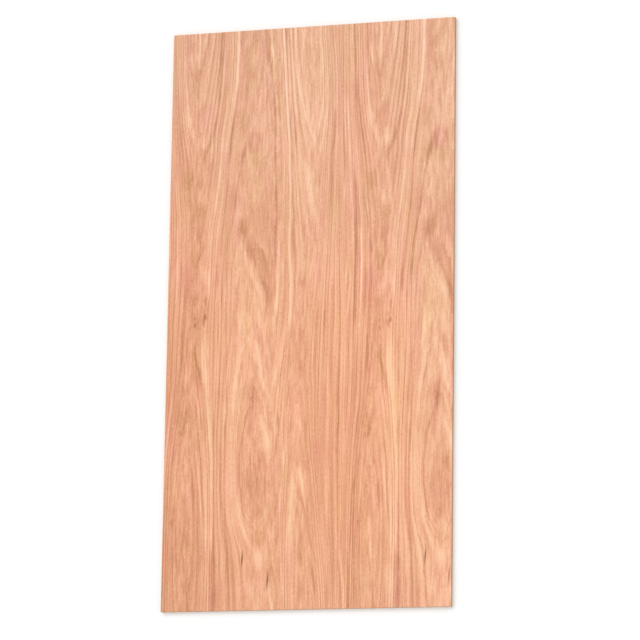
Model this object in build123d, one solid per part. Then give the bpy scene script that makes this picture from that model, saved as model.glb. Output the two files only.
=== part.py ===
"""A 4 x 8 ft sheet of 3/4 in hardwood-faced plywood, lying face up.

The plies are pressed, trimmed and sanded into one rigid panel, so the sheet is one solid.
Its thickness is the sum of its plies, and its sawn edges are split into one strip for each
ply, where the glue lines come out.

Millimetres, +Z up. The origin is the middle of the back face. X runs across the face grain,
Y runs along it, and the face veneer is the top.
"""
from build123d import *
from build123d.topology import SkipClean
import os

# The trimmed sheet
sheet_width = 1219.2
sheet_length = 2438.4

# The layup: a sanded hardwood veneer on each side of an odd number of thicker core plies
face_veneer = 0.63
back_veneer = 0.63
core_ply = 3.40
core_plies = 5

# The flat that sanding and handling leave on each sawn corner
arris = 0.25

ply_heights = [back_veneer] + core_plies * [core_ply] + [face_veneer]


def trimmed_outline():
    """The sheet's outline in plan, sawn square, with its four corners eased."""
    square = Rectangle(sheet_width, sheet_length)
    return chamfer(square.vertices(), arris)


def pressed_panel():
    """The plies joined into one solid, from the back up, with a strip for each on the edges."""
    outline = trimmed_outline()
    plies = []
    glue_line = 0.0
    for ply_height in ply_heights:
        plies.append(extrude(Pos(Z=glue_line) * outline, ply_height))
        glue_line += ply_height
    # Cleaning would merge the strips on each side of a glue line
    with SkipClean():
        return Part() + plies


def plywood_sheet():
    """The panel with the rims of its back and face eased."""
    levels = pressed_panel().edges().group_by(Axis.Z)
    return chamfer(levels[0] + levels[-1], arris)


os.makedirs("parts", exist_ok=True)
export_step(plywood_sheet(), "parts/plywood_sheet.step")
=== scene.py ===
"""The looks of a sheet of red-oak plywood, lying face up on a pale floor.

The sheet is one panel, modelled to the CAD solid's own size. Its face is a rotary-cut veneer,
drawn as the growth rings that the lathe's knife cut through, and its sawn edges show the plies.
Everything is in metres, in the CAD frame: +Y is up the sheet in the photograph.
"""

import math

import bpy
from mathutils import Matrix, Vector


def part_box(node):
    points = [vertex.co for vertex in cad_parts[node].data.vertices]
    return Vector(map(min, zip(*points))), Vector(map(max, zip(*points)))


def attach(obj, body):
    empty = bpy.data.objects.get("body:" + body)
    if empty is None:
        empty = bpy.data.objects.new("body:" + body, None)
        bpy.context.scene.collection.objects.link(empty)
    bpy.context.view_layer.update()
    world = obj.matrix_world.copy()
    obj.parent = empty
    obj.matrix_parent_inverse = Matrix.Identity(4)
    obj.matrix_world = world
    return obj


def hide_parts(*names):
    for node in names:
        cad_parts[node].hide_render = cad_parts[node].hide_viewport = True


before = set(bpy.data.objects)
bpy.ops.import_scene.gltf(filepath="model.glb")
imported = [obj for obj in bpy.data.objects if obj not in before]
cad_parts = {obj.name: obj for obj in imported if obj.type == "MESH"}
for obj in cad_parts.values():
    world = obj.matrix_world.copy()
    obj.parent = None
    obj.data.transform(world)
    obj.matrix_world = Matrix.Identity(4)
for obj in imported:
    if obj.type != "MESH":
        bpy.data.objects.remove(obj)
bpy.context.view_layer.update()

mm = 0.001

# The sheet and its layup, from the back up
sheet_low, sheet_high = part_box("plywood_sheet")
sheet_middle = (sheet_low + sheet_high) / 2
sheet_size = sheet_high - sheet_low
back_veneer = 0.63 * mm
face_veneer = 0.63 * mm
core_plies = 5
core_ply = (sheet_size.z - back_veneer - face_veneer) / core_plies
glue_lines = [sheet_low.z + back_veneer + core_ply * ply for ply in range(core_plies + 1)]

# The sawn edges: eased corners, end grain that the saw tears a little below its neighbours, and
# glue lines that wander up and down. Each line's waves are one step longer than the last one's,
# and the panel is cut into cells that let it bend.
arris = 0.25 * mm
glue_width = 0.16 * mm
end_grain_sunk = 0.10 * mm
glue_wander = 0.5 * mm
glue_wave = 90 * mm
glue_wave_step = 30 * mm
panel_cell = 61 * mm

# How far each end of a streak takes to fade, in millimetres, and what the colours span: levels
# of 255 from the darkest to the palest, and levels of hue from tan to pink
streak_fade = 90.0
levels_in_ramp = 72.0
hue_in_ramp = 18.0

# How the bare wood shines and how deep its marks are
bare_wood_gloss = 0.3
face_roughness = 0.6
back_roughness = 0.64
core_roughness = 0.68
end_grain_roughness = 0.8
glue_roughness = 0.55
pore_depth = 0.05 * mm
saw_mark_depth = 0.1 * mm
slit_depth = 0.15 * mm

# Camera and light
image_side = 640
focal_pixels = 3500
sensor_width = 36.0
camera_place = Vector((3.954, -2.883, 13.505))
camera_aim = Vector((0.0487, -0.0322, sheet_high.z))
camera_roll = math.radians(0.84)
sky_strength = 0.765
lamp_strength = 0.287
lamp_lean = math.radians(28)
lamp_softness = math.radians(40)
floor_side = 60.0
floor_gap = 0.3 * mm
floor_white = 0.92
floor_glow = 0.12


class Signal:
    """A value on its way through a material's nodes, so that its maths reads as maths."""

    def __init__(self, finish, socket):
        self.finish = finish
        self.socket = socket

    def maths(self, operation, *others):
        """This value and the others, worked out together by one Math node."""
        return self.finish.add("ShaderNodeMath", {"operation": operation}, self, *others)

    def also(self, output):
        """Another output of the same node."""
        return Signal(self.finish, self.socket.node.outputs[output])

    def __add__(self, other):
        return self.maths("ADD", other)

    def __sub__(self, other):
        return self.maths("SUBTRACT", other)

    def __mul__(self, other):
        return self.maths("MULTIPLY", other)

    def __truediv__(self, other):
        return self.maths("DIVIDE", other)

    def __rsub__(self, other):
        return self.finish.add("ShaderNodeMath", {"operation": "SUBTRACT"}, other, self)

    __radd__ = __add__
    __rmul__ = __mul__


class Finish:
    """A material under way. Its nodes are all added by one method."""

    def __init__(self, name):
        self.material = bpy.data.materials.new(name)
        self.material.use_nodes = True
        self.tree = self.material.node_tree
        self.tree.nodes.clear()

    def add(self, kind, settings=None, *inputs, output=0, **named):
        """Adds a node: its settings, then its sockets by place or by name, and gives an output."""
        node = self.tree.nodes.new(kind)
        for setting, value in (settings or {}).items():
            if setting == "curve":
                draw_curve(node.mapping, value)
            elif setting == "stops":
                place_stops(node.color_ramp, value)
            elif setting == "colour":
                node.outputs[0].default_value = srgb(*value)
            else:
                setattr(node, setting, value)
        sockets = list(enumerate(inputs))
        sockets += [(name.replace("_", " "), value) for name, value in named.items()]
        for socket, value in sockets:
            if isinstance(value, Signal):
                self.tree.links.new(value.socket, node.inputs[socket])
            else:
                node.inputs[socket].default_value = value
        return Signal(self, node.outputs[output]) if node.outputs else None


class Recipe(Finish):
    """A group of nodes that a material uses many times over."""

    def __init__(self, name, *takes):
        self.tree = bpy.data.node_groups.new(name, "ShaderNodeTree")
        for word in takes:
            self.tree.interface.new_socket(word, in_out="INPUT", socket_type="NodeSocketFloat")
        first = self.add("NodeGroupInput")
        self.taken = [first.also(word) for word in takes]

    def give(self, **results):
        """Closes the group: what it hands back, by name."""
        for word in results:
            self.tree.interface.new_socket(word, in_out="OUTPUT", socket_type="NodeSocketFloat")
        self.add("NodeGroupOutput", None, *results.values())
        return self.tree


def draw_curve(mapping, points):
    """Gives a Float Curve these points, with x and y from 0 to 1."""
    curve = mapping.curves[0]
    while len(curve.points) < len(points):
        curve.points.new(0.5, 0.5)
    for point, place in zip(curve.points, points):
        point.location = place
        point.handle_type = "AUTO_CLAMPED"
    mapping.extend = "HORIZONTAL"
    mapping.update()


def place_stops(colour_ramp, stops):
    """Gives a colour ramp these (position, colour) stops."""
    while len(colour_ramp.elements) < len(stops):
        colour_ramp.elements.new(1.0)
    for element, (position, colour) in zip(colour_ramp.elements, stops):
        element.position = position
        element.color = colour


def srgb(red, green, blue):
    """A colour given as 0 to 255, as the linear one that nodes hold."""
    shares = [level / 255 for level in (red, green, blue)]
    return [s / 12.92 if s <= 0.04045 else ((s + 0.055) / 1.055) ** 2.4 for s in shares] + [1.0]


# The face veneer. Places are in millimetres: across from the sheet's left edge, and down from
# its top end. Growth rings are counted outwards from the deepest one that the knife reached.
# The log turned one and a half times under the knife, so the figure comes again, a little
# stretched: how far on it comes, how much wider it has grown for each millimetre from the place
# about which it is stretched, and how much lower it lies, all on the way down. The first turn
# begins at the seam, beyond the sheet's left edge.
turn_seam = -45.0
sheet_down = sheet_size.y / mm
turn_length = [(0, 785), (600, 790), (1100, 794), (1600, 793), (2000, 791), (2440, 787)]
turn_spread = [(0, 0.075), (1200, -0.02), (2440, -0.08)]
turn_drop = [(0, 8), (300, 20), (600, 28), (900, 38), (1200, 42), (1500, 34), (1800, 28), (2440, 0)]
turn_middle = 60.0

# The ring lines across one turn, left to right. Each has its places across and the ring that is
# cut there, both as (down, value) points. The rings turn back at a trough or a crest and pass
# straight over a slope. A core is how far the mottled wood about a trough or a crest reaches.
ring_lines = {
    "seam": {
        "across": [(0, turn_seam), (2440, turn_seam)],
        "ring": [(0, 13.6), (2440, 13.6)],
        "slope": True,
    },
    "left slope": {
        "across": [
            (0, 24), (250, 28), (400, 38), (500, 50), (700, 66), (900, 79), (1000, 80), (1150, 75),
            (1300, 68), (1500, 60), (1700, 38), (1800, 27), (1950, 20), (2440, 18),
        ],
        "ring": [(0, 8.0), (2440, 8.0)],
        "slope": True,
    },
    "trough": {
        "core": 75,
        "across": [
            (0, 120), (350, 105), (560, 125), (850, 125), (1000, 120), (1150, 125), (1300, 112),
            (1500, 100), (1800, 95), (2100, 90), (2440, 100),
        ],
        "ring": [
            (0, 0.6), (100, 1.3), (250, 2.5), (440, 4.0), (590, 5.0), (850, 6.4), (1150, 7.0),
            (1300, 6.8), (1450, 6.2), (1650, 4.8), (1800, 3.8), (1950, 2.9), (2100, 2.3),
            (2250, 2.5), (2440, 3.4),
        ],
    },
    "bright ring": {
        "across": [
            (0, 248), (200, 246), (330, 240), (430, 229), (550, 222), (650, 213), (750, 200),
            (880, 186), (1080, 178), (1280, 163), (1450, 168), (1650, 188), (1800, 197),
            (2100, 205), (2440, 209),
        ],
        "ring": [(0, 9.5), (2440, 9.5)],
        "slope": True,
    },
    "dark ring": {
        "across": [
            (0, 293), (250, 284), (400, 266), (500, 257), (600, 250), (700, 245), (800, 237),
            (900, 229), (1000, 222), (1100, 217), (1300, 217), (1500, 215), (1700, 211),
            (1900, 214), (2100, 217), (2440, 220),
        ],
        "ring": [(0, 13.0), (2440, 13.0)],
        "slope": True,
    },
    "side crest": {
        "core": 110,
        "across": [
            (0, 370), (500, 360), (850, 330), (1150, 345), (1500, 375), (1900, 400), (2200, 410),
            (2440, 400),
        ],
        "ring": [
            (0, 14.3), (450, 15.3), (780, 16.6), (920, 17.3), (1150, 18.2), (1310, 18.6),
            (1490, 19.8), (1600, 20.6), (1750, 21.5), (1900, 21.8), (2000, 21.4), (2100, 20.2),
            (2190, 18.9), (2300, 18.2), (2440, 17.6),
        ],
    },
    "side trough": {
        "core": 55,
        "across": [
            (0, 424), (100, 430), (200, 440), (300, 447), (450, 455), (600, 456), (800, 462),
            (1000, 460), (1150, 450), (1300, 445), (1480, 447), (1650, 452), (1850, 462),
            (2100, 466), (2440, 470),
        ],
        "ring": [
            (0, 16.5), (1100, 16.5), (1300, 17.2), (1480, 18.2), (1650, 19.3), (1850, 20.2),
            (1950, 19.9), (2150, 18.8), (2440, 17.3),
        ],
        "slope": True,
    },
    "pale ring": {
        "across": [
            (0, 481), (100, 488), (300, 500), (450, 510), (650, 521), (900, 525), (1100, 529),
            (1250, 525), (1400, 512), (1650, 500), (1850, 510), (2200, 506), (2440, 510),
        ],
        "ring": [(0, 20.5), (2440, 20.5)],
        "slope": True,
    },
    "crest": {
        "core": 70,
        "across": [
            (0, 605), (450, 620), (800, 620), (1100, 600), (1500, 568), (1900, 580), (2440, 610),
        ],
        "ring": [
            (0, 26.0), (380, 25.0), (490, 24.2), (700, 23.3), (1000, 22.4), (1300, 21.9),
            (1430, 21.7), (1540, 22.4), (1700, 23.2), (1800, 23.8), (1960, 25.0), (2100, 26.0),
            (2440, 27.0),
        ],
    },
    "right slope": {
        "across": [
            (0, 688), (60, 694), (130, 702), (250, 709), (400, 710), (500, 707), (700, 701),
            (900, 695), (1100, 688), (1300, 682), (1500, 678), (1700, 676), (1900, 684),
            (2100, 700), (2300, 718), (2440, 726),
        ],
        "ring": [(0, 16.5), (2440, 16.5)],
        "slope": True,
    },
    "next seam": {
        "across": [(0, 732), (600, 741), (1200, 751), (1800, 753), (2440, 750)],
        "ring": [(0, 13.6), (2440, 13.6)],
        "slope": True,
    },
}

# The streaks of grain that stand out from the rest, on the first turn and so again on the
# second: how much paler each is, or darker where it is below 0, in levels of 255, half its
# width, and its line down the sheet as (down, across) points.
streaks = [
    (14, 5, [(-90, 118), (80, 115), (170, 98)]),
    (11, 5, [(-90, 178), (60, 172), (120, 160), (230, 143), (340, 116)]),
    (9, 5, [(-90, 38), (150, 52), (300, 68), (400, 88), (460, 100)]),
    (14, 9, [(270, 62), (330, 67), (390, 74), (450, 84)]),
    (9, 4, [(430, 12), (550, 17), (700, 26), (830, 34)]),
    (7, 4, [(20, 70), (150, 85), (260, 100)]),
    (8, 4, [(-90, 252), (150, 248), (300, 240)]),
    (28, 7, [(-90, 287), (100, 288), (200, 284), (280, 276), (370, 262)]),
    (17, 5, [(260, 277), (350, 266), (450, 252), (560, 241)]),
    (17, 5, [(240, 243), (330, 240), (430, 228), (500, 222), (600, 217), (700, 208), (820, 194)]),
    (23, 4, [(-90, 477), (50, 484), (150, 490), (250, 495), (330, 502), (460, 509)]),
    (15, 4, [(380, 506), (500, 514), (600, 516), (700, 522), (880, 520)]),
    (22, 5, [(790, 521), (900, 520), (1000, 525), (1060, 529), (1150, 531), (1220, 529), (1310, 519)]),
    (12, 3, [(880, 497), (960, 500), (1040, 498), (1130, 498), (1220, 494)]),
    (9, 3, [(650, 553), (760, 556), (840, 557)]),
    (9, 3, [(1020, 550), (1140, 556)]),
    (11, 3, [(1150, 560), (1230, 563)]),
    (9, 5, [(1170, 607), (1280, 610), (1350, 615)]),
    (14, 4, [(-90, 424), (50, 430), (110, 438), (190, 447)]),
    (15, 4, [(-90, 455), (60, 467), (120, 476), (200, 479)]),
    (17, 4, [(-90, 508), (60, 515), (130, 520), (200, 526), (270, 531), (340, 541), (440, 556)]),
    (16, 5, [(-90, 532), (110, 535), (230, 549), (290, 561), (350, 577), (430, 598), (500, 622)]),
    (13, 4, [(-90, 573), (60, 570), (220, 556)]),
    (13, 4, [(-90, 640), (80, 646), (190, 653), (290, 650)]),
    (14, 4, [(230, 668), (300, 660), (360, 653), (430, 643), (500, 632)]),
    (15, 4, [(260, 684), (330, 678), (400, 670), (480, 660), (540, 651), (600, 641)]),
    (21, 10, [(540, 583), (640, 597), (720, 609), (780, 622), (840, 630)]),
    (14, 9, [(440, 615), (480, 622), (530, 628)]),
    (10, 4, [(630, 158), (700, 161), (790, 165)]),
    (13, 5, [(780, 28), (900, 33), (1000, 34), (1100, 33), (1190, 27)]),
    (9, 8, [(820, 186), (900, 178), (1000, 172)]),
    (19, 5, [(1000, 179), (1060, 178), (1150, 178)]),
    (8, 18, [(960, 155), (1060, 155), (1130, 150)]),
    (17, 6, [(1240, 160), (1330, 163), (1450, 169), (1600, 180), (1700, 189)]),
    (17, 6, [(1280, 148), (1370, 152), (1450, 160), (1560, 172)]),
    (17, 6, [(1260, 172), (1370, 177), (1500, 182), (1650, 194), (1760, 199)]),
    (13, 4, [(850, 667), (930, 671), (1000, 664), (1080, 660), (1160, 652), (1240, 647)]),
    (18, 5, [(860, 472), (950, 477), (1030, 473), (1130, 472), (1200, 466), (1290, 457)]),
    (14, 9, [(900, 313), (960, 305), (1120, 296)]),
    (15, 9, [(890, 310), (980, 335), (1060, 368), (1120, 398), (1180, 414)]),
    (17, 7, [(1260, 368), (1330, 388), (1400, 400), (1490, 415), (1530, 430), (1580, 447)]),
    (15, 6, [(1250, 506), (1370, 490), (1430, 482), (1480, 470), (1520, 460), (1580, 447)]),
    (11, 6, [(1260, 376), (1320, 350), (1400, 315), (1480, 304)]),
    (10, 15, [(1430, 305), (1550, 300), (1680, 292)]),
    (20, 7, [(1660, 188), (1750, 197), (1800, 203), (1950, 208), (2230, 207)]),
    (10, 3, [(1620, 168), (1720, 180), (1800, 184), (1930, 189)]),
    (16, 4, [(1620, 150), (1700, 158), (1800, 169), (1900, 173), (2000, 178), (2100, 184), (2250, 186)]),
    (14, 4, [(1620, 106), (1700, 123), (1800, 139), (1900, 151), (2000, 162), (2100, 168), (2200, 170)]),
    (10, 5, [(1820, 57), (1900, 50), (1960, 50), (2020, 57)]),
    (8, 4, [(1900, 98), (1950, 103), (2010, 107)]),
    (9, 4, [(2220, 98), (2280, 104), (2340, 102)]),
    (22, 9, [(1610, 408), (1660, 418), (1740, 440), (1830, 457)]),
    (10, 20, [(1640, 291), (1850, 285), (1950, 290), (2150, 312)]),
    (14, 6, [(1930, 320), (2030, 328), (2120, 350), (2160, 366), (2220, 382)]),
    (20, 4, [(1750, 519), (1830, 512), (1900, 508)]),
    (13, 4, [(1870, 509), (1950, 502), (2050, 498), (2200, 503), (2300, 510), (2420, 522)]),
    (20, 7, [(1810, 573), (1870, 583), (1970, 597), (2060, 605)]),
    (17, 11, [(1830, 572), (1950, 552), (2100, 542), (2200, 540), (2280, 545)]),
    (8, 7, [(2200, 543), (2350, 550), (2530, 565)]),
    (18, 5, [(2310, 455), (2370, 461), (2438, 475), (2530, 490)]),
    (-19, 6, [(-90, 218), (60, 216), (150, 211), (270, 206), (360, 198)]),
    (-16, 7, [(320, 201), (400, 189), (450, 178), (490, 167), (530, 150), (570, 138)]),
    (-14, 4, [(520, 175), (600, 170), (690, 165)]),
    (-10, 4, [(820, 17), (920, 19), (1050, 14)]),
    (-13, 6, [(870, 161), (930, 150), (970, 133), (1030, 110)]),
    (-11, 4, [(250, 29), (350, 33), (420, 40), (520, 51), (580, 57)]),
    (-11, 4, [(80, 63), (150, 75), (250, 95), (350, 101)]),
    (-9, 10, [(120, 115), (270, 110)]),
    (-7, 14, [(-90, 312), (240, 309)]),
    (-19, 8, [(-50, 401), (60, 413), (130, 422), (230, 434)]),
    (-12, 4, [(180, 408), (300, 415), (420, 423)]),
    (-17, 4, [(200, 441), (300, 447), (400, 452), (600, 457), (800, 463), (1050, 461)]),
    (-17, 5, [(-90, 494), (60, 497), (140, 503)]),
    (-17, 4, [(330, 533), (400, 538), (450, 541), (550, 547)]),
    (-15, 4, [(300, 524), (400, 521), (470, 525), (560, 530), (640, 531)]),
    (-8, 4, [(-90, 520), (100, 525), (250, 532)]),
    (-12, 4, [(570, 656), (640, 649), (750, 647)]),
    (-16, 4, [(730, 546), (800, 546), (890, 548)]),
    (-14, 4, [(800, 530), (900, 534), (980, 540), (1060, 544), (1150, 551)]),
    (-14, 6, [(810, 637), (880, 633), (960, 625)]),
    (-9, 3, [(310, 604), (370, 607), (430, 613)]),
    (-14, 5, [(1070, 579), (1120, 578)]),
    (-10, 3, [(1050, 589), (1140, 596)]),
    (-13, 4, [(1480, 529), (1550, 528), (1630, 520)]),
    (-15, 4, [(1600, 483), (1660, 487), (1730, 492)]),
    (-11, 4, [(1630, 547), (1700, 537), (1750, 529)]),
    (-14, 3, [(1815, 500), (1880, 499)]),
    (-12, 4, [(2000, 576), (2070, 573)]),
    (-12, 3, [(2190, 503), (2270, 505), (2380, 513)]),
    (-10, 4, [(2140, 449), (2220, 460), (2300, 478), (2370, 494)]),
    (-15, 4, [(2220, 627), (2290, 640), (2350, 649), (2430, 662)]),
    (-9, 5, [(-90, 680), (60, 694), (130, 702), (250, 709), (350, 711)]),
    (-19, 5, [(330, 712), (480, 708), (550, 702), (700, 699), (800, 697)]),
    (-12, 4, [(130, 757), (270, 760), (400, 768)]),
    (-13, 5, [(330, 278), (450, 265), (590, 255)]),
    (-20, 10, [(470, 322), (520, 318), (560, 312), (615, 304)]),
    (-14, 4, [(580, 303), (650, 296), (750, 284), (880, 262), (950, 253), (1110, 247)]),
    (-14, 4, [(620, 251), (700, 247), (800, 237), (900, 228), (990, 217)]),
    (-20, 5, [(960, 219), (1060, 212), (1140, 213)]),
    (-15, 8, [(900, 348), (940, 356), (980, 370), (1060, 402), (1160, 443)]),
    (-13, 6, [(1230, 65), (1300, 68), (1400, 68), (1460, 65)]),
    (-15, 5, [(1310, 112), (1360, 120), (1410, 130), (1460, 143), (1530, 155)]),
    (-12, 4, [(1130, 214), (1300, 222), (1420, 227), (1540, 224), (1620, 216)]),
    (-10, 4, [(1160, 246), (1400, 247), (1620, 243)]),
    (-13, 3, [(1040, 231), (1130, 233), (1220, 236)]),
    (-14, 5, [(2260, 257), (2340, 258), (2530, 264)]),
    (-11, 4, [(1160, 289), (1240, 283), (1300, 275), (1500, 262), (1650, 262)]),
    (-22, 13, [(1460, 381), (1530, 377), (1590, 372), (1660, 356)]),
    (-14, 5, [(1590, 366), (1700, 337), (1780, 328), (1850, 323), (1950, 333), (2100, 348)]),
    (-10, 6, [(1500, 388), (1560, 397), (1640, 408)]),
    (-11, 3, [(1270, 524), (1400, 502), (1450, 494), (1520, 479), (1590, 462)]),
    (-10, 3, [(1300, 528), (1400, 514), (1600, 500), (1700, 488)]),
    (-10, 12, [(1320, 564), (1400, 570), (1480, 580)]),
    (-14, 5, [(1160, 684), (1250, 680), (1330, 677)]),
    (-11, 3, [(1280, 383), (1340, 398), (1400, 409), (1510, 436)]),
    (-11, 3, [(1290, 371), (1350, 340), (1400, 316), (1480, 297)]),
    (-18, 4, [(1600, 215), (1700, 211), (1800, 212), (2000, 216), (2200, 220), (2300, 223)]),
    (-7, 4, [(1600, 243), (1800, 243), (2000, 245), (2340, 251)]),
    (-15, 4, [(1620, 262), (1850, 260), (1950, 263), (2050, 267), (2150, 275), (2530, 300)]),
    (-15, 14, [(2190, 221), (2300, 225), (2530, 229)]),
    (-13, 4, [(1620, 126), (1700, 140), (1750, 148), (1800, 156), (1850, 161), (1950, 167), (2100, 176)]),
    (-13, 5, [(1780, 105), (1860, 117), (1940, 126), (2000, 132), (2080, 138)]),
    (-10, 4, [(2190, 64), (2250, 67), (2330, 74)]),
    (-10, 4, [(2260, 128), (2340, 118), (2400, 110), (2500, 108)]),
    (-12, 8, [(1730, 52), (1850, 31), (1950, 20), (2530, 14)]),
    (-17, 4, [(1610, 491), (1700, 487), (1760, 480), (1880, 464)]),
    (-22, 4, [(1990, 479), (2080, 482)]),
    (-22, 4, [(2070, 491), (2190, 496)]),
    (-14, 4, [(1930, 580), (2000, 596), (2090, 615), (2170, 632), (2230, 650), (2290, 672)]),
    (-14, 4, [(2080, 592), (2300, 591)]),
    (-12, 3, [(2210, 624), (2300, 645), (2420, 676)]),
    (-10, 9, [(2230, 90), (2350, 108), (2530, 112)]),
]

# More of them on the whole sheet, where one turn has a streak and the other doesn't
lone_streaks = [
    (20, 3, [(-90, 780), (60, 783), (120, 787), (200, 789), (270, 790)]),
    (12, 4, [(120, 676), (200, 679), (300, 678)]),
    (16, 3, [(230, 750), (330, 752), (400, 755), (470, 757), (540, 760)]),
    (18, 3, [(280, 762), (350, 765), (430, 769), (520, 773), (640, 776)]),
    (16, 3, [(570, 763), (660, 758), (740, 757), (830, 763)]),
    (10, 3, [(600, 775), (700, 781), (820, 785)]),
    (20, 4, [(990, 785), (1060, 785), (1120, 783), (1180, 779), (1270, 769)]),
    (15, 3, [(990, 770), (1070, 767), (1160, 764)]),
    (13, 4, [(820, 826), (950, 829), (1050, 832), (1120, 831), (1200, 824), (1330, 816), (1430, 812)]),
    (12, 4, [(1300, 784), (1380, 787), (1480, 784)]),
    (18, 3, [(1590, 737), (1660, 738), (1720, 733)]),
    (10, 4, [(1770, 686), (1850, 690), (1950, 695), (2120, 702)]),
    (10, 3, [(1690, 770), (1850, 769), (1970, 766)]),
    (14, 5, [(2030, 876), (2110, 880), (2200, 883), (2300, 890), (2350, 894)]),
    (21, 4, [(2180, 753), (2260, 761), (2330, 769), (2400, 772), (2530, 774)]),
    (14, 4, [(40, 853), (120, 862), (180, 870), (240, 879)]),
    (10, 3, [(700, 843), (770, 851), (860, 866)]),
    (-10, 6, [(-90, 793), (100, 795), (200, 799), (300, 803), (400, 809)]),
    (-20, 5, [(600, 795), (720, 802), (830, 807), (950, 807), (1050, 806), (1230, 806), (1320, 800)]),
    (-12, 4, [(880, 862), (930, 868), (1000, 878)]),
    (-12, 3, [(1010, 777), (1080, 776), (1160, 772), (1240, 767)]),
    (-14, 3, [(1590, 744), (1680, 742), (1750, 735)]),
    (-14, 3, [(1765, 730), (1820, 737)]),
    (-13, 6, [(1590, 828), (1700, 826), (1780, 820), (1880, 816), (1960, 809), (2080, 806), (2180, 809)]),
    (-14, 4, [(2170, 781), (2240, 787), (2300, 790), (2530, 793)]),
    (-14, 3, [(2190, 743), (2260, 750), (2330, 758), (2530, 768)]),
    (-9, 5, [(2100, 808), (2240, 812), (2530, 821)]),
    (-10, 6, [(2280, 700), (2370, 704), (2530, 709)]),
    (-13, 3, [(690, 835), (760, 843), (850, 858), (930, 869)]),
    (14, 3, [(190, 1037), (260, 1040), (340, 1046)]),
    (9, 4, [(-90, 973), (60, 968), (110, 964), (180, 958)]),
    (12, 6, [(1060, 1125), (1110, 1145), (1140, 1160), (1180, 1180)]),
    (11, 4, [(1180, 1101), (1240, 1102), (1290, 1099), (1340, 1093), (1390, 1087), (1460, 1080)]),
    (8, 6, [(1380, 968), (1480, 972), (1600, 975), (1700, 985)]),
    (-10, 3, [(60, 1135), (130, 1138), (200, 1137), (260, 1135)]),
    (-12, 4, [(570, 968), (640, 964), (720, 961)]),
    (-14, 5, [(930, 1020), (990, 1013), (1050, 1011), (1110, 1004), (1190, 1005)]),
    (-13, 4, [(820, 1069), (880, 1061), (950, 1053), (1030, 1046), (1110, 1036), (1150, 1034)]),
    (-11, 3, [(1340, 1101), (1390, 1092), (1440, 1083)]),
    (-14, 3, [(1320, 984), (1370, 986), (1430, 985)]),
    (-14, 3, [(1450, 991), (1500, 993), (1560, 994)]),
    (-14, 6, [(1640, 1128), (1700, 1119), (1740, 1111), (1800, 1106)]),
]

# Blotches on the first turn: how much paler, how much pinker or, below 0, more tan, both in
# levels, then the middle across and down, and the reach across and down.
blotches = [
    (-36, 0, 165, 1220, 10, 17),
    (-30, 0, 156, 1234, 8, 28),
    (-16, 0, 157, 1196, 7, 22),
    (-20, 2, 165, 1154, 10, 26),
    (-12, 2, 171, 1188, 7, 30),
    (-22, 0, 120, 1254, 9, 12),
    (-6, 0, 58, 30, 28, 90),
    (-8, 0, 148, 525, 26, 48),
    (12, 0, 153, 1585, 26, 80),
    (-8, 0, 53, 1070, 18, 120),
    (-14, 0, 118, 1222, 8, 10),
    (-8, -5, 78, 640, 30, 60),
    (-6, -6, 132, 775, 34, 55),
    (-4, -6, 118, 965, 18, 70),
    (-5, -4, 300, 380, 30, 70),
    (-4, -5, 375, 550, 60, 55),
    (-12, -5, 330, 835, 30, 60),
    (0, -4, 478, 650, 26, 80),
    (-4, -3, 700, 790, 24, 80),
    (3, -3, 345, 1210, 70, 130),
    (-8, -4, 122, 1410, 26, 90),
    (-9, -3, 75, 1655, 36, 60),
    (-14, -2, 66, 1705, 24, 16),
    (-8, -4, 415, 1810, 22, 34),
    (-5, -4, 405, 2150, 40, 50),
    (6, -4, 548, 2050, 30, 160),
    (4, -3, 65, 2330, 24, 110),
    (-14, 3, 362, 485, 46, 65),
    (2, 4, 385, 130, 16, 80),
    (-4, 4, 150, 370, 60, 80),
    (2, 3, 350, 310, 60, 70),
    (-2, 3, 140, 870, 50, 60),
    (0, 4, 30, 1020, 24, 190),
    (-8, 4, 90, 1080, 34, 130),
    (3, 3, 610, 870, 60, 90),
    (2, 3, 620, 1070, 50, 120),
    (-3, 5, 142, 1560, 26, 80),
    (-2, 4, 60, 1760, 34, 60),
    (-13, 3, 398, 1900, 55, 200),
    (-9, 1, 372, 1640, 40, 110),
    (-2, 4, 660, 1800, 60, 80),
    (-2, 4, 735, 240, 36, 130),
    (-8, 6, 226, 2400, 20, 60),
    (16, 0, 573, 1690, 20, 60),
    (18, 0, 414, 2245, 22, 70),
    (10, 0, 428, 2315, 26, 40),
    (-8, 2, 447, 1400, 24, 110),
    (5, 0, 402, 990, 45, 120),
    (-9, 0, 318, 840, 16, 46),
    (-8, 2, 447, 1620, 16, 50),
    (9, 0, 578, 1880, 18, 60),
    (8, 0, 112, 905, 18, 45),
    (9, 0, 112, 1092, 15, 45),
    (-12, 0, 109, 1820, 8, 14),
    (-9, 0, 86, 1840, 7, 16),
    (-14, 0, 38, 2075, 8, 20),
    (-9, 0, 47, 2020, 6, 24),
    (8, 0, 182, 2310, 24, 90),
    (9, 0, 76, 385, 18, 50),
    (8, 0, 96, 435, 20, 28),
    (9, 0, 138, 478, 24, 28),
    (-9, 0, 440, 1130, 24, 50),
    (-6, 0, 440, 1320, 20, 55),
    (7, 0, 437, 1255, 11, 34),
    (7, 0, 610, 700, 30, 90),
    (6, 0, 607, 1010, 16, 120),
    (-9, 0, 577, 1450, 16, 16),
    (6, 0, 612, 262, 14, 34),
]

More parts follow.
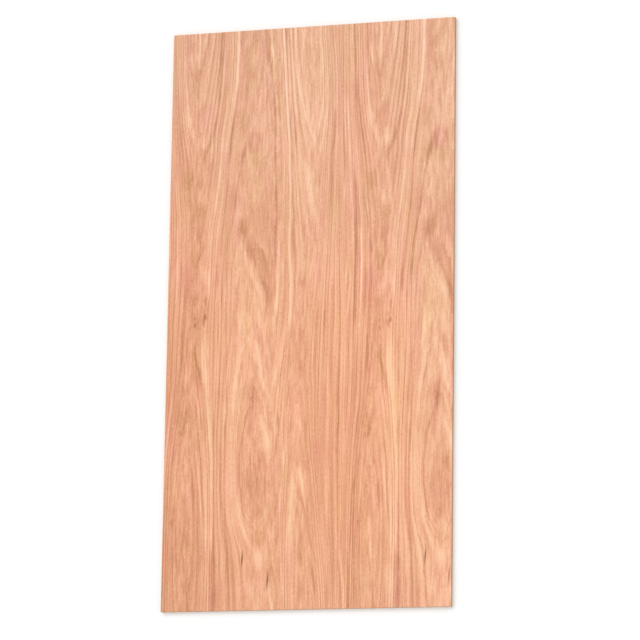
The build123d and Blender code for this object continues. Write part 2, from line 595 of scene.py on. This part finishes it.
# Broad shades, in the same way, on the whole sheet
shades = [
    (-8, 0, 30, 1350, 230, 1600),
    (-6, 0, 90, 2440, 260, 450),
    (-6, 0, 300, 50, 400, 500),
    (5, 0, 560, 150, 160, 700),
    (-5, 0, 400, 1000, 100, 300),
    (-5, 0, 860, 100, 150, 500),
    (-5, 0, 850, 1000, 110, 700),
    (5, 0, 1200, 350, 150, 700),
    (-6, 0, 1200, 540, 90, 160),
    (7, 0, 1180, 2400, 160, 400),
    (8, 0, 400, 1500, 220, 420),
    (7, 0, 1080, 1560, 230, 600),
    (4, 0, 980, 2100, 150, 400),
    (-4, 0, 640, 2000, 220, 600),
    (-7, 0, 1095, 420, 14, 60),
    (-12, 0, 1133, 530, 24, 65),
    (-8, 0, 1108, 600, 14, 60),
    (6, 0, 1126, 450, 14, 45),
    (12, 0, 934, 480, 18, 45),
    (-7, 0, 972, 490, 13, 50),
    (-9, 0, 1118, 1083, 10, 14),
    (-10, 0, 908, 1390, 20, 50),
    (8, 0, 952, 1420, 18, 90),
    (-10, 0, 1158, 1560, 22, 65),
    (-12, 0, 1195, 1855, 8, 38),
    (-11, 0, 1163, 1905, 9, 28),
    (14, 0, 1078, 2230, 36, 160),
    (-6, 0, 1125, 2130, 16, 55),
    (8, 0, 1196, 2125, 9, 38),
    (7, 0, 958, 2340, 24, 95),
    (-6, 0, 842, 1080, 26, 65),
    (8, 0, 918, 1100, 28, 70),
    (6, 0, 914, 1290, 18, 45),
    (8, 0, 926, 2080, 22, 80),
    (-7, 0, 850, 110, 24, 75),
    (-7, 0, 846, 1190, 24, 65),
    (-9, 0, 1162, 1195, 30, 55),
]

# Mineral stains, on the whole sheet: how deep, half the width, and the line down the sheet
stains = [
    (1.1, 3, [(2178, 345), (2284, 341)]),
    (0.9, 3, [(2178, 1115), (2290, 1107)]),
    (1.0, 3, [(2262, 456), (2372, 449)]),
    (0.6, 3, [(2266, 1213), (2370, 1206)]),
    (0.2, 6, [(1190, 165), (1260, 158)]),
    (0.15, 6, [(1236, 122), (1268, 120)]),
]

# How warm the sheet's tint grows on the way down, 1 at the most, and where more or less so.
# The tint multiplies red, green and blue: its middle, and how much warmth adds to it.
warmth = [(0, -1.1), (300, -0.8), (700, -0.35), (1100, 0.3), (1400, 0.65), (1900, 0.75), (2440, 0.45)]
warmer_spots = [
    (0.6, 0, 800, 1650, 330, 900),
    (-0.5, 0, 1190, 1200, 200, 1100),
    (0.35, 0, 60, 900, 250, 700),
    (0.45, 0, 840, 300, 120, 500),
]
tint_middle = (0.993, 1.002, 1.006)
tint_by_warmth = (0.014, -0.042, -0.092)

# The wood's colours, 0 to 255, from the darkest levels to the palest
tan_wood = [(194, 138, 94), (216, 156, 111), (233, 176, 131), (247, 195, 149), (254, 211, 168)]
pink_wood = [(200, 131, 105), (224, 151, 124), (241, 171, 143), (255, 192, 163), (255, 207, 177)]
back_wood = [(188, 137, 98), (226, 175, 134), (246, 205, 166)]
core_wood = [(182, 134, 92), (223, 182, 139), (243, 212, 174)]
end_grain_wood = [(116, 78, 50), (188, 142, 102), (216, 173, 130)]
hard_glue = [(112, 76, 50), (156, 116, 80)]
stain_colour = (136, 84, 46)

# The layers of noise in each finish: how wide and how long a layer's shapes are, how fine its
# detail is, its seed, how far its noise moves on from one turn or ply to the next, and how
# strong it is. Sizes are in millimetres, or in rings or plies where a layer follows those.
# Strengths are in levels, or in rings for a sway or a bow, or in millimetres for the slits.
layers = {
    "face sway": (80.0, 400.0, 1.0, 23.0, 0.2, 0.4),
    "face ragged": (11.0, 60.0, 2.0, 3.0, 0.0, 1.0),
    "face vigour": (1 / 3.7, 1500.0, 1.0, 81.0, 0.2, 1.2),
    "face bands": (1 / 1.1, 600.0, 2.0, 0.0, 0.15, 1.0),
    "face lines": (1 / 3.4, 900.0, 3.0, 5.0, 0.25, 1.0),
    "face mottle": (10.0, 75.0, 3.0, 51.0, 0.3, 1.0),
    "face fibre": (3.0, 110.0, 3.0, 7.0, 0.0, 22.0),
    "face flecks": (4.5, 13.0, 1.0, 17.0, 0.0, 17.0),
    "face broad": (160.0, 500.0, 1.0, 11.0, 0.0, 8.0),
    "face pores": (0.7, 10.0, 1.0, 27.0, 0.0, 1.0),
    "face uneven": (18.0, 90.0, 2.0, 41.0, 0.3, 1.2),
    "face hue": (45.0, 300.0, 1.0, 61.0, 0.3, 10.0),
    "back sway": (320.0, 1000.0, 1.0, 31.0, 0.0, 6.0),
    "back bands": (1 / 1.2, 800.0, 2.0, 33.0, 0.0, 18.0),
    "back lines": (1 / 4.0, 900.0, 3.0, 35.0, 0.0, 22.0),
    "back fibre": (3.0, 110.0, 3.0, 37.0, 0.0, 18.0),
    "back flecks": (4.5, 13.0, 1.0, 39.0, 0.0, 10.0),
    "core shade": (1 / 3.37, 1100.0, 0.0, 5.0, 0.0, 38.0),
    "core streaks": (170.0, 0.55, 3.0, 0.0, 3.7, 30.0),
    "core fibre": (12.0, 0.14, 2.0, 40.0, 2.3, 16.0),
    "core saw marks": (1.1, 40.0, 1.0, 9.0, 0.0, 12.0),
    "end bow": (240.0, 1 / 1.9, 1.0, 3.0, 0.0, 2.5),
    "end rings": (1 / 1.6, 60.0, 2.0, 0.0, 2.9, 26.0),
    "end pores": (0.4, 0.4, 1.0, 13.0, 0.0, 1.0),
    "end slits": (7.0, 3.0, 2.0, 21.0, 0.0, 2.0),
    "end opened": (11.0, 1 / 4.3, 2.0, 25.0, 0.0, 1.0),
    "glue": (6.0, 1.0, 2.0, 3.0, 0.0, 42.5),
}

# How strong the face's layers are in straight grain, and in the core of a trough or a crest
ring_strength = (21.0, 4.0)
band_strength = (24.0, 16.0)
line_strength = (37.0, 7.0)
mottle_strength = (8.0, 38.0)
ragged_rings = (0.1, 0.35)

# How dark a pore is in late wood and in early wood, in levels, and on average over the face
pore_strength = (5.0, 20.0)
pores_on_average = 2.0

# What vigour the rings have on average, and how strong the streaks are, about which noise plays
usual_vigour = 0.9
usual_streak = 1.25

# How far ragged grain pushes the streaks about, in millimetres across and down
ragged_across = 3.0
ragged_down = 8.0

# How wide the back's growth rings are and how flat those in the core's end grain are, and how
# far apart and how slanted the slits are that the lathe's knife left, all in millimetres
back_ring_width = 24.0
end_ring_height = 1.3
slit_spacing = 2.6
slit_lean = 0.7

# Where the first core ply lies in the noise that shades the plies, in plies
first_ply = 0.4 / 3.37

# How many levels darker the end grain's pores and slits are
end_pore_levels = 14.0
slit_levels = 34.0


def follow(finish, down, points):
    """The smooth line through (down, value) points, as a signal, or its value if all are the same."""
    values = [value for _, value in points]
    low, span = min(values), max(values) - min(values)
    if span == 0:
        return low
    unit = [(place / sheet_down, (value - low) / span) for place, value in points]
    return finish.add("ShaderNodeFloatCurve", {"curve": unit}, 1.0, down / sheet_down) * span + low


def rise_between(finish, across, start, end, leaves_sloping, lands_sloping):
    """From 0 at one ring line to 1 at the next, easing off at an end where the rings turn back."""
    easing = 0.6
    way = "LINEAR" if leaves_sloping or lands_sloping else "SMOOTHSTEP"
    share = finish.add("ShaderNodeMapRange", {"interpolation_type": way}, across, start, end)
    if leaves_sloping and not lands_sloping:
        return share * ((1.0 + easing) - share * easing)
    if lands_sloping and not leaves_sloping:
        return share * (share * easing + (1.0 - easing))
    return share


def rings_cut(finish, turned, down):
    """The ring that the knife cut at each place, and how near that is to where rings turn back."""
    lines = list(ring_lines.values())
    lie = [follow(finish, down, line["across"]) for line in lines]
    rings = [follow(finish, down, line["ring"]) for line in lines]
    cut = rings[0]
    for i in range(len(lines) - 1):
        sloping = [lines[k].get("slope", False) for k in (i, i + 1)]
        rise = rise_between(finish, turned, lie[i], lie[i + 1], *sloping)
        cut = (rings[i + 1] - rings[i]) * rise + cut
    core = 0.0
    for place, line in zip(lie, lines):
        if "core" in line:
            off = (turned - place).maths("ABSOLUTE")
            core = soft_step(finish, off, 0.0, line["core"], 1.0, 0.0) + core
    return cut, core.maths("MINIMUM", 1.0)


def noise(finish, x, y, z, detail):
    """Smooth noise about 0, mostly within 0.5 of it."""
    place = finish.add("ShaderNodeCombineXYZ", None, x, y, z)
    found = finish.add("ShaderNodeTexNoise", None, Vector=place, Scale=1.0, Detail=detail)
    return found * 2.0 - 1.0


def layer(finish, name, x, y, turn_or_ply=None):
    """One of the layers of noise, along two signals and perhaps apart for each turn or ply."""
    wide, long, detail, seed, moves_on, strength = layers[name]
    z = seed if turn_or_ply is None else turn_or_ply * moves_on + seed
    found = noise(finish, x / wide, y / long, z, detail)
    return found if strength == 1.0 else found * strength


def between(share, ends):
    """Goes over from the first of two values to the second as the share goes from 0 to 1."""
    first, second = ends
    return share * (second - first) + first


def ramp(finish, value, colours):
    """The colour that runs through these, evenly, as the value goes from 0 to 1."""
    last = len(colours) - 1
    stops = [(step / last, srgb(*colour)) for step, colour in enumerate(colours)]
    return finish.add("ShaderNodeValToRGB", {"stops": stops}, value)


def mix(finish, share, first, second):
    """The first colour, going over to the second as the share goes from 0 to 1."""
    mixer = finish.add("ShaderNodeMix", {"data_type": "RGBA"}, share, output="Result")
    node = mixer.socket.node
    colour_sockets = [socket for socket in node.inputs if socket.type == "RGBA"]
    for socket, colour in zip(colour_sockets, (first, second)):
        finish.tree.links.new(colour.socket, socket)
    return Signal(finish, [output for output in node.outputs if output.type == "RGBA"][0])


def places(finish):
    """Millimetres across from the sheet's left edge, down from its top end and up from its back."""
    spot = finish.add("ShaderNodeTexCoord", output="Object")
    x = finish.add("ShaderNodeSeparateXYZ", None, spot)
    y, z = x.also("Y"), x.also("Z")
    across = (x - sheet_low.x) * (1 / mm)
    down = (sheet_high.y - y) * (1 / mm)
    height = (z - sheet_low.z) * (1 / mm)
    return across, down, height


def close_off(finish, colour, roughness, normal=None):
    """The wood's surface, from its colour and roughness."""
    inputs = {"Base_Color": colour, "Roughness": roughness}
    if normal:
        inputs["Normal"] = normal
    wood = finish.add("ShaderNodeBsdfPrincipled", None, Specular_IOR_Level=bare_wood_gloss, **inputs)
    finish.add("ShaderNodeOutputMaterial", None, wood)
    return finish.material


def dents(finish, strength, depth, height):
    """The bump of small marks: how much of it shows, how deep it is and where it is high."""
    return finish.add("ShaderNodeBump", None, strength, depth, Height=height)


def as_tone(levels):
    """Levels above or below the middle of a colour ramp, as a place on it."""
    return levels * (1 / levels_in_ramp) + 0.5


def soft_step(finish, value, start, end, low=0.0, high=1.0):
    """From low at the start to high at the end, level at both."""
    soft = {"interpolation_type": "SMOOTHSTEP", "clamp": False}
    return finish.add("ShaderNodeMapRange", soft, value, start, end, low, high)


def streak_recipe():
    """Adds a streak's levels: full along its middle line, and none at its sides and its ends."""
    recipe = Recipe(
        "streak", "So far", "Across", "Down", "Share", "Left", "Swing", "Reach",
        "Top", "Full from", "Full to", "Bottom", "Levels",
    )
    so_far, across, down, share, left, swing, reach, top, full_from, full_to, bottom, levels = recipe.taken
    off = (across - (share * swing + left)).maths("ABSOLUTE")
    beside = soft_step(recipe, off, 0.0, reach, 1.0, 0.0)
    begun = soft_step(recipe, down, top, full_from)
    ended = soft_step(recipe, down, full_to, bottom, 1.0, 0.0)
    return recipe.give(Levels=beside * begun * ended * levels + so_far)


def add_streaks(finish, across, down, shapes):
    """The levels that the streaks add up to."""
    so_far = 0.0
    recipe = {"node_tree": streak_recipe()}
    share_down = down / sheet_down
    for levels, half_width, line in shapes:
        left = min(place for _, place in line)
        swing = max(place for _, place in line) - left
        top, bottom = line[0][0], line[-1][0]
        fade = min(streak_fade, (bottom - top) / 2)
        unit = [(place / sheet_down, (value - left) / swing) for place, value in line]
        share = finish.add("ShaderNodeFloatCurve", {"curve": unit}, 1.0, share_down)
        so_far = finish.add(
            "ShaderNodeGroup", recipe, so_far, across, down, share, left, swing, 2.0 * half_width,
            top, top + fade, bottom - fade, bottom, levels,
        )
    return so_far


def blotch_recipe():
    """Adds a blotch's levels and hue: full at the middle of an oval, and none at its rim."""
    recipe = Recipe(
        "blotch", "So far", "Hue so far", "Across", "Down",
        "Middle across", "Middle down", "Reach across", "Reach down", "Levels", "Hue",
    )
    so_far, hue_so_far, across, down, mid_across, mid_down, wide, long, levels, hue = recipe.taken
    off_across = (across - mid_across) / wide
    off_down = (down - mid_down) / long
    spot = soft_step(recipe, off_across * off_across + off_down * off_down, 0.0, 1.0, 1.0, 0.0)
    return recipe.give(Levels=spot * levels + so_far, Hue=spot * hue + hue_so_far)


def add_blotches(finish, across, down, shapes, so_far, hue):
    """The levels and the hue that blotches add up to."""
    recipe = {"node_tree": blotch_recipe()}
    for levels, pink, *oval in shapes:
        so_far = finish.add(
            "ShaderNodeGroup", recipe, so_far, hue, across, down, *oval, levels, pink,
        )
        hue = so_far.also("Hue")
    return so_far, hue


def log_turns(finish, across, down):
    """Where a place was on the first turn of the log: how far across, how far down, and its turn."""
    seam = follow(finish, down, ring_lines["next seam"]["across"])
    second = across.maths("GREATER_THAN", seam)
    spread = follow(finish, down, turn_spread)
    length = follow(finish, down, turn_length)
    unrolled = (across - length + spread * turn_middle) / (spread + 1.0)
    turned = across + second * (unrolled - across)
    lifted = down - second * follow(finish, down, turn_drop)
    return turned, lifted, second


def face_grain(finish, across, down):
    """The face's grain as levels and hue, and its pores and fibre."""
    turned, lifted, turn = log_turns(finish, across, down)
    ring, core = rings_cut(finish, turned, lifted)
    sway = layer(finish, "face sway", turned, lifted, turn)
    ragged = layer(finish, "face ragged", across, down)
    ring = ring + ragged * between(core, ragged_rings) + sway
    pushed_across = ragged * ragged_across
    pushed_down = ragged * ragged_down
    wavering, drifting = turned + pushed_across, lifted + pushed_down

    standing_out = add_streaks(finish, wavering, drifting, streaks)
    alone = add_streaks(finish, across + pushed_across, down + pushed_down, lone_streaks)
    patches, hue = add_blotches(finish, wavering, drifting, blotches, 0.0, 0.0)
    shaded, hue = add_blotches(finish, across, down, shades, 0.0, hue)

    # Each ring has a dark line of early wood, stronger in some rings than in others
    age = ring.maths("FRACT")
    vigour = layer(finish, "face vigour", ring - age, lifted, turn) + usual_vigour
    early_wood = soft_step(finish, age.maths("MINIMUM", 0.5), 0.0, 0.5, 1.0, 0.0)
    rings = (0.25 - early_wood) * vigour * between(core, ring_strength)

    bands = layer(finish, "face bands", ring, lifted, turn) * between(core, band_strength)
    lines = layer(finish, "face lines", ring, lifted, turn) * between(core, line_strength)
    mottle = layer(finish, "face mottle", turned, lifted, turn) * between(core, mottle_strength)
    fibre = layer(finish, "face fibre", across, down)
    flecks = layer(finish, "face flecks", across, down)
    broad = layer(finish, "face broad", across, down)
    pored = soft_step(finish, layer(finish, "face pores", across, down), 0.14, 0.3)
    pores = pored * between(early_wood, pore_strength) - pores_on_average
    uneven = layer(finish, "face uneven", turned, lifted, turn) + usual_streak
    levels = (standing_out + alone) * uneven + patches + shaded + rings + bands + lines + mottle
    levels = levels + fibre + flecks + broad - pores
    hue = hue + layer(finish, "face hue", turned, lifted, turn)
    return levels, hue, pored, fibre


def tinted_by_place(finish, colour, across, down):
    """The colour, tinted warmer or cooler from part to part of the sheet, cooler and paler at the top."""
    warm = add_blotches(finish, across, down, warmer_spots, follow(finish, down, warmth), 0.0)[0]
    tint = [warm * more + middle for middle, more in zip(tint_middle, tint_by_warmth)]
    tint = finish.add("ShaderNodeCombineXYZ", None, *tint)
    return finish.add("ShaderNodeVectorMath", {"operation": "MULTIPLY"}, colour, tint)


def face_veneer_finish():
    """Rotary-cut red oak, sanded and bare."""
    finish = Finish("red_oak_face")
    across, down, _ = places(finish)
    levels, hue, pored, fibre = face_grain(finish, across, down)
    tone = as_tone(levels)
    tan = ramp(finish, tone, tan_wood)
    pink = ramp(finish, tone, pink_wood)
    colour = mix(finish, hue * (1 / hue_in_ramp) + 0.5, tan, pink)
    colour = tinted_by_place(finish, colour, across, down)
    stained = add_streaks(finish, across, down, stains)
    colour = mix(finish, stained, colour, finish.add("ShaderNodeRGB", {"colour": stain_colour}))
    roughness = face_roughness + pored * 0.1 - fibre * 0.004
    return close_off(finish, colour, roughness, dents(finish, 0.3, pore_depth, fibre * 0.02 - pored))


def back_veneer_finish():
    """The back veneer, which the photograph doesn't show: plainer wood, with straight grain."""
    finish = Finish("red_oak_back")
    across, down, _ = places(finish)
    ring = across / back_ring_width + layer(finish, "back sway", across, down)
    bands = layer(finish, "back bands", ring, down)
    lines = layer(finish, "back lines", ring, down)
    fibre = layer(finish, "back fibre", across, down)
    flecks = layer(finish, "back flecks", across, down)
    colour = ramp(finish, as_tone(bands + lines + fibre + flecks), back_wood)
    return close_off(finish, colour, back_roughness)


def edge_places(finish):
    """Along a sawn edge and up it, in millimetres, and the number of the ply there."""
    across, down, height = places(finish)
    ply = finish.add("ShaderNodeAttribute", {"attribute_name": "ply"}, output="Fac")
    return across + down, height, ply


def ply_shade(finish, along, ply):
    """The levels by which each core ply is paler or darker than the next, here and there."""
    return layer(finish, "core shade", ply + first_ply, along)


def core_along_finish():
    """A core ply sawn along its grain: long streaks, and the faint marks of the saw."""
    finish = Finish("core_along_the_grain")
    along, height, ply = edge_places(finish)
    streaky = layer(finish, "core streaks", along, height, ply)
    fibre = layer(finish, "core fibre", along, height, ply)
    saw_marks = layer(finish, "core saw marks", along, height)
    levels = streaky + fibre + saw_marks + ply_shade(finish, along, ply)
    colour = ramp(finish, as_tone(levels), core_wood)
    scratches = dents(finish, 0.4, saw_mark_depth, saw_marks * 0.05 + fibre * 0.02)
    return close_off(finish, colour, core_roughness, scratches)


def lathe_slits(finish, along, height, ply):
    """The slits that the lathe's knife opened in the loose side of each core ply, in places."""
    wavering = along + height * slit_lean + layer(finish, "end slits", along, height)
    slit = soft_step(finish, (wavering / slit_spacing).maths("FRACT"), 0.0, 0.09, 1.0, 0.0)
    up_ply = ((height * mm - back_veneer) / core_ply).maths("FRACT")
    loose_side = soft_step(finish, up_ply, 0.4, 0.75, 1.0, 0.0)
    opened = soft_step(finish, layer(finish, "end opened", along, ply), -0.05, 0.2)
    return slit * loose_side * opened


def core_end_grain_finish():
    """A core ply sawn across its grain: pores, flat ring arcs and the slits that the lathe left."""
    finish = Finish("core_end_grain")
    along, height, ply = edge_places(finish)
    arcs = height / end_ring_height + layer(finish, "end bow", along, ply)
    rings = layer(finish, "end rings", arcs, along, ply)
    pored = soft_step(finish, layer(finish, "end pores", along, height), 0.0, 0.35)
    slits = lathe_slits(finish, along, height, ply)
    levels = rings - pored * end_pore_levels - slits * slit_levels
    levels = levels + ply_shade(finish, along, ply)
    colour = ramp(finish, as_tone(levels), end_grain_wood)
    torn = dents(finish, 0.5, slit_depth, -1.0 * pored - slits)
    return close_off(finish, colour, end_grain_roughness, torn)


def glue_finish():
    """The hardened glue between two plies."""
    finish = Finish("glue_line")
    along, height, _ = edge_places(finish)
    colour = ramp(finish, as_tone(layer(finish, "glue", along, height)), hard_glue)
    return close_off(finish, colour, glue_roughness)


def deselect_all():
    """Leaves nothing selected, for the next operator."""
    bpy.ops.object.select_all(action="DESELECT")


def pick(sheet, kind, wanted):
    """In edit mode, leaves selected only the faces or the edges that wanted picks."""
    bpy.ops.mesh.select_mode(type={"polygons": "FACE", "edges": "EDGE"}[kind])
    bpy.ops.mesh.select_all(action="DESELECT")
    bpy.ops.object.mode_set(mode="OBJECT")
    for element in getattr(sheet.data, kind):
        element.select = wanted(element)
    bpy.ops.object.mode_set(mode="EDIT")


def near(value, target):
    """Whether two heights or places are the same, to a hundredth of a millimetre."""
    return abs(value - target) < 0.01 * mm


def core_ply_of(height):
    """Which core ply this height is in, from 0 at the back, or None in a veneer."""
    ply = math.floor((height - glue_lines[0]) / core_ply)
    return ply if 0 <= ply < core_plies else None


def cut_into_plies():
    """Marks the glue lines round the edges, and a grid that lets them wander."""
    cuts = [((0, 0, z), (0, 0, 1)) for z in glue_lines]
    for axis, normal in ((0, (1, 0, 0)), (1, (0, 1, 0))):
        count = round(sheet_size[axis] / panel_cell)
        for step in range(1, count):
            place = [0, 0, 0]
            place[axis] = sheet_low[axis] + sheet_size[axis] * step / count
            cuts.append((place, normal))
    for place, normal in cuts:
        bpy.ops.mesh.select_all(action="SELECT")
        bpy.ops.mesh.bisect(plane_co=place, plane_no=normal)


def ease_corners(sheet):
    """Takes the sharpness off the four sawn corners and both rims."""
    points = sheet.data.vertices

    def on_corner_or_rim(edge):
        ends = [points[v].co for v in edge.vertices]
        on_side = [
            all(near(abs(co[axis] - sheet_middle[axis]), sheet_size[axis] / 2) for co in ends)
            for axis in range(3)
        ]
        return sum(on_side) > 1

    pick(sheet, "edges", on_corner_or_rim)
    bpy.ops.mesh.bevel(offset=arris, offset_type="OFFSET", segments=2, profile=0.5, affect="EDGES")


def side_of(face):
    """Which way a face looks: x or y for the sawn edges, z for the face and back."""
    reach = [abs(part) for part in face.normal]
    if reach[2] > 0.7:
        return "z"
    return "x" if reach[0] >= reach[1] else "y"


def shows_end_grain(face):
    """Cross plies show end grain on the long edges, and the plies between them on the ends."""
    ply = core_ply_of(face.center.z)
    side = side_of(face)
    if ply is None or side == "z":
        return False
    return ply % 2 == (0 if side == "x" else 1)


def panel():
    """The sheet: one block cut into its plies, with eased corners and torn end grain."""
    deselect_all()
    bpy.ops.mesh.primitive_cube_add(size=1.0, location=sheet_middle, scale=sheet_size)
    sheet = bpy.context.object
    sheet.name = "plywood_panel"
    sheet.data.name = "plywood_panel"
    bpy.ops.object.transform_apply(location=True, rotation=True, scale=True)
    bpy.ops.object.mode_set(mode="EDIT")
    cut_into_plies()
    ease_corners(sheet)
    bpy.ops.object.mode_set(mode="OBJECT")
    let_glue_lines_wander(sheet)
    bpy.ops.object.mode_set(mode="EDIT")
    pick(sheet, "polygons", shows_end_grain)
    bpy.ops.mesh.inset(thickness=glue_width, depth=-end_grain_sunk, use_even_offset=True)
    bpy.ops.object.mode_set(mode="OBJECT")
    return sheet


def let_glue_lines_wander(sheet):
    """Core veneers vary in thickness, so each glue line wanders up and down by itself."""
    for number, height in enumerate(glue_lines[1:-1]):
        on_line = [v.index for v in sheet.data.vertices if near(v.co.z, height)]
        group = sheet.vertex_groups.new(name=f"glue_line_{number}")
        group.add(on_line, 1.0, "REPLACE")
        waves = bpy.data.textures.new(f"glue_line_{number}", type="CLOUDS")
        waves.noise_scale = glue_wave + glue_wave_step * number
        wander = sheet.modifiers.new("wander", "DISPLACE")
        wander.texture = waves
        wander.texture_coords = "LOCAL"
        wander.direction = "Z"
        wander.mid_level = 0.5
        wander.strength = 2 * glue_wander
        wander.vertex_group = group.name
        bpy.ops.object.modifier_apply(modifier=wander.name)
    sheet.vertex_groups.clear()


def give_finishes(sheet):
    """One finish to each kind of surface: face, back, plies sawn along and across, and glue."""
    finishes = {
        "face": face_veneer_finish(),
        "back": back_veneer_finish(),
        "along": core_along_finish(),
        "end": core_end_grain_finish(),
        "glue": glue_finish(),
    }

    def kind(face):
        if face.center.z > glue_lines[-1]:
            return "face"
        if face.center.z < glue_lines[0]:
            return "back"
        if abs(face.normal.z) > 0.3 and side_of(face) != "z":
            return "glue"
        return "end" if shows_end_grain(face) else "along"

    for material in finishes.values():
        sheet.data.materials.append(material)
    order = list(finishes)
    for face in sheet.data.polygons:
        face.material_index = order.index(kind(face))


def number_the_plies(sheet):
    """Tells the edge finishes which core ply each strip is."""
    numbers = sheet.data.attributes.new("ply", "FLOAT", "FACE")
    for face, number in zip(sheet.data.polygons, numbers.data):
        number.value = core_ply_of(face.center.z) or 0


def lay_out_map(sheet):
    """The piece's own map: the face has most of it, and the four sawn edges lie beside it."""
    rooms = {
        "face": (0.002, 0.640, 0.002, 0.998),
        "back": (0.646, 0.858, 0.002, 0.998),
        "left": (0.864, 0.906, 0.002, 0.998),
        "right": (0.910, 0.952, 0.002, 0.998),
        "bottom": (0.956, 0.998, 0.002, 0.498),
        "top": (0.956, 0.998, 0.502, 0.998),
    }
    sheet_map = sheet.data.uv_layers[0]
    sheet_map.name = "OFBake"
    for face in sheet.data.polygons:
        side = side_of(face)
        if side == "z":
            room, u_axis, v_axis = ("face" if face.normal.z > 0 else "back"), 0, 1
        elif side == "x":
            room, u_axis, v_axis = ("right" if face.normal.x > 0 else "left"), 2, 1
        else:
            room, u_axis, v_axis = ("top" if face.normal.y > 0 else "bottom"), 2, 0
        left, right, low, high = rooms[room]
        for corner in face.loop_indices:
            spot = sheet.data.vertices[sheet.data.loops[corner].vertex_index].co
            u = (spot[u_axis] - sheet_low[u_axis]) / sheet_size[u_axis]
            v = (spot[v_axis] - sheet_low[v_axis]) / sheet_size[v_axis]
            sheet_map.data[corner].uv = (left + (right - left) * u, low + (high - low) * v)


def floor():
    """A white floor that keeps the sheet's shadow."""
    deselect_all()
    bpy.ops.mesh.primitive_plane_add(size=floor_side, location=(0, 0, sheet_low.z - floor_gap))
    ground = bpy.context.object
    ground.name = "floor"
    finish = Finish("white_floor")
    paper = finish.add("ShaderNodeBsdfDiffuse", None, (floor_white, floor_white, floor_white, 1.0))
    seen = finish.add("ShaderNodeLightPath", output="Is Camera Ray")
    glow = finish.add("ShaderNodeEmission", None, (1.0, 1.0, 1.0, 1.0), seen * floor_glow)
    both = finish.add("ShaderNodeAddShader", None, paper, glow)
    finish.add("ShaderNodeOutputMaterial", None, both)
    ground.data.materials.append(finish.material)


def lights():
    """Even white light from all round, and a soft lamp overhead."""
    world = bpy.data.worlds.new("studio")
    bpy.context.scene.world = world
    world.use_nodes = True
    sky = world.node_tree.nodes["Background"]
    sky.inputs["Color"].default_value = (1.0, 1.0, 1.0, 1.0)
    sky.inputs["Strength"].default_value = sky_strength
    bpy.ops.object.light_add(type="SUN", location=(0, 0, 5), rotation=(-lamp_lean, -lamp_lean, 0))
    lamp = bpy.context.object
    lamp.name = "overhead_lamp"
    lamp.data.angle = lamp_softness
    lamp.data.energy = lamp_strength * math.pi


def camera():
    """The photograph's long lens, looking down on the sheet."""
    lens = bpy.data.cameras.new("camera")
    lens.sensor_width = sensor_width
    lens.lens = focal_pixels * sensor_width / image_side
    lens.clip_end = 200.0
    eye = bpy.data.objects.new("camera", lens)
    bpy.context.scene.collection.objects.link(eye)
    forward = (camera_aim - camera_place).normalized()
    right = forward.cross(Vector((0, 1, 0))).normalized()
    up = right.cross(forward)
    turned_right = right * math.cos(camera_roll) + up * math.sin(camera_roll)
    turned_up = up * math.cos(camera_roll) - right * math.sin(camera_roll)
    aim = Matrix((turned_right, turned_up, -forward)).transposed()
    eye.matrix_world = Matrix.Translation(camera_place) @ aim.to_4x4()
    bpy.context.scene.camera = eye


sheet = panel()
give_finishes(sheet)
number_the_plies(sheet)
lay_out_map(sheet)
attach(sheet, "root")
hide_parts("plywood_sheet")

floor()
lights()
camera()
bpy.context.scene.view_settings.view_transform = "Standard"
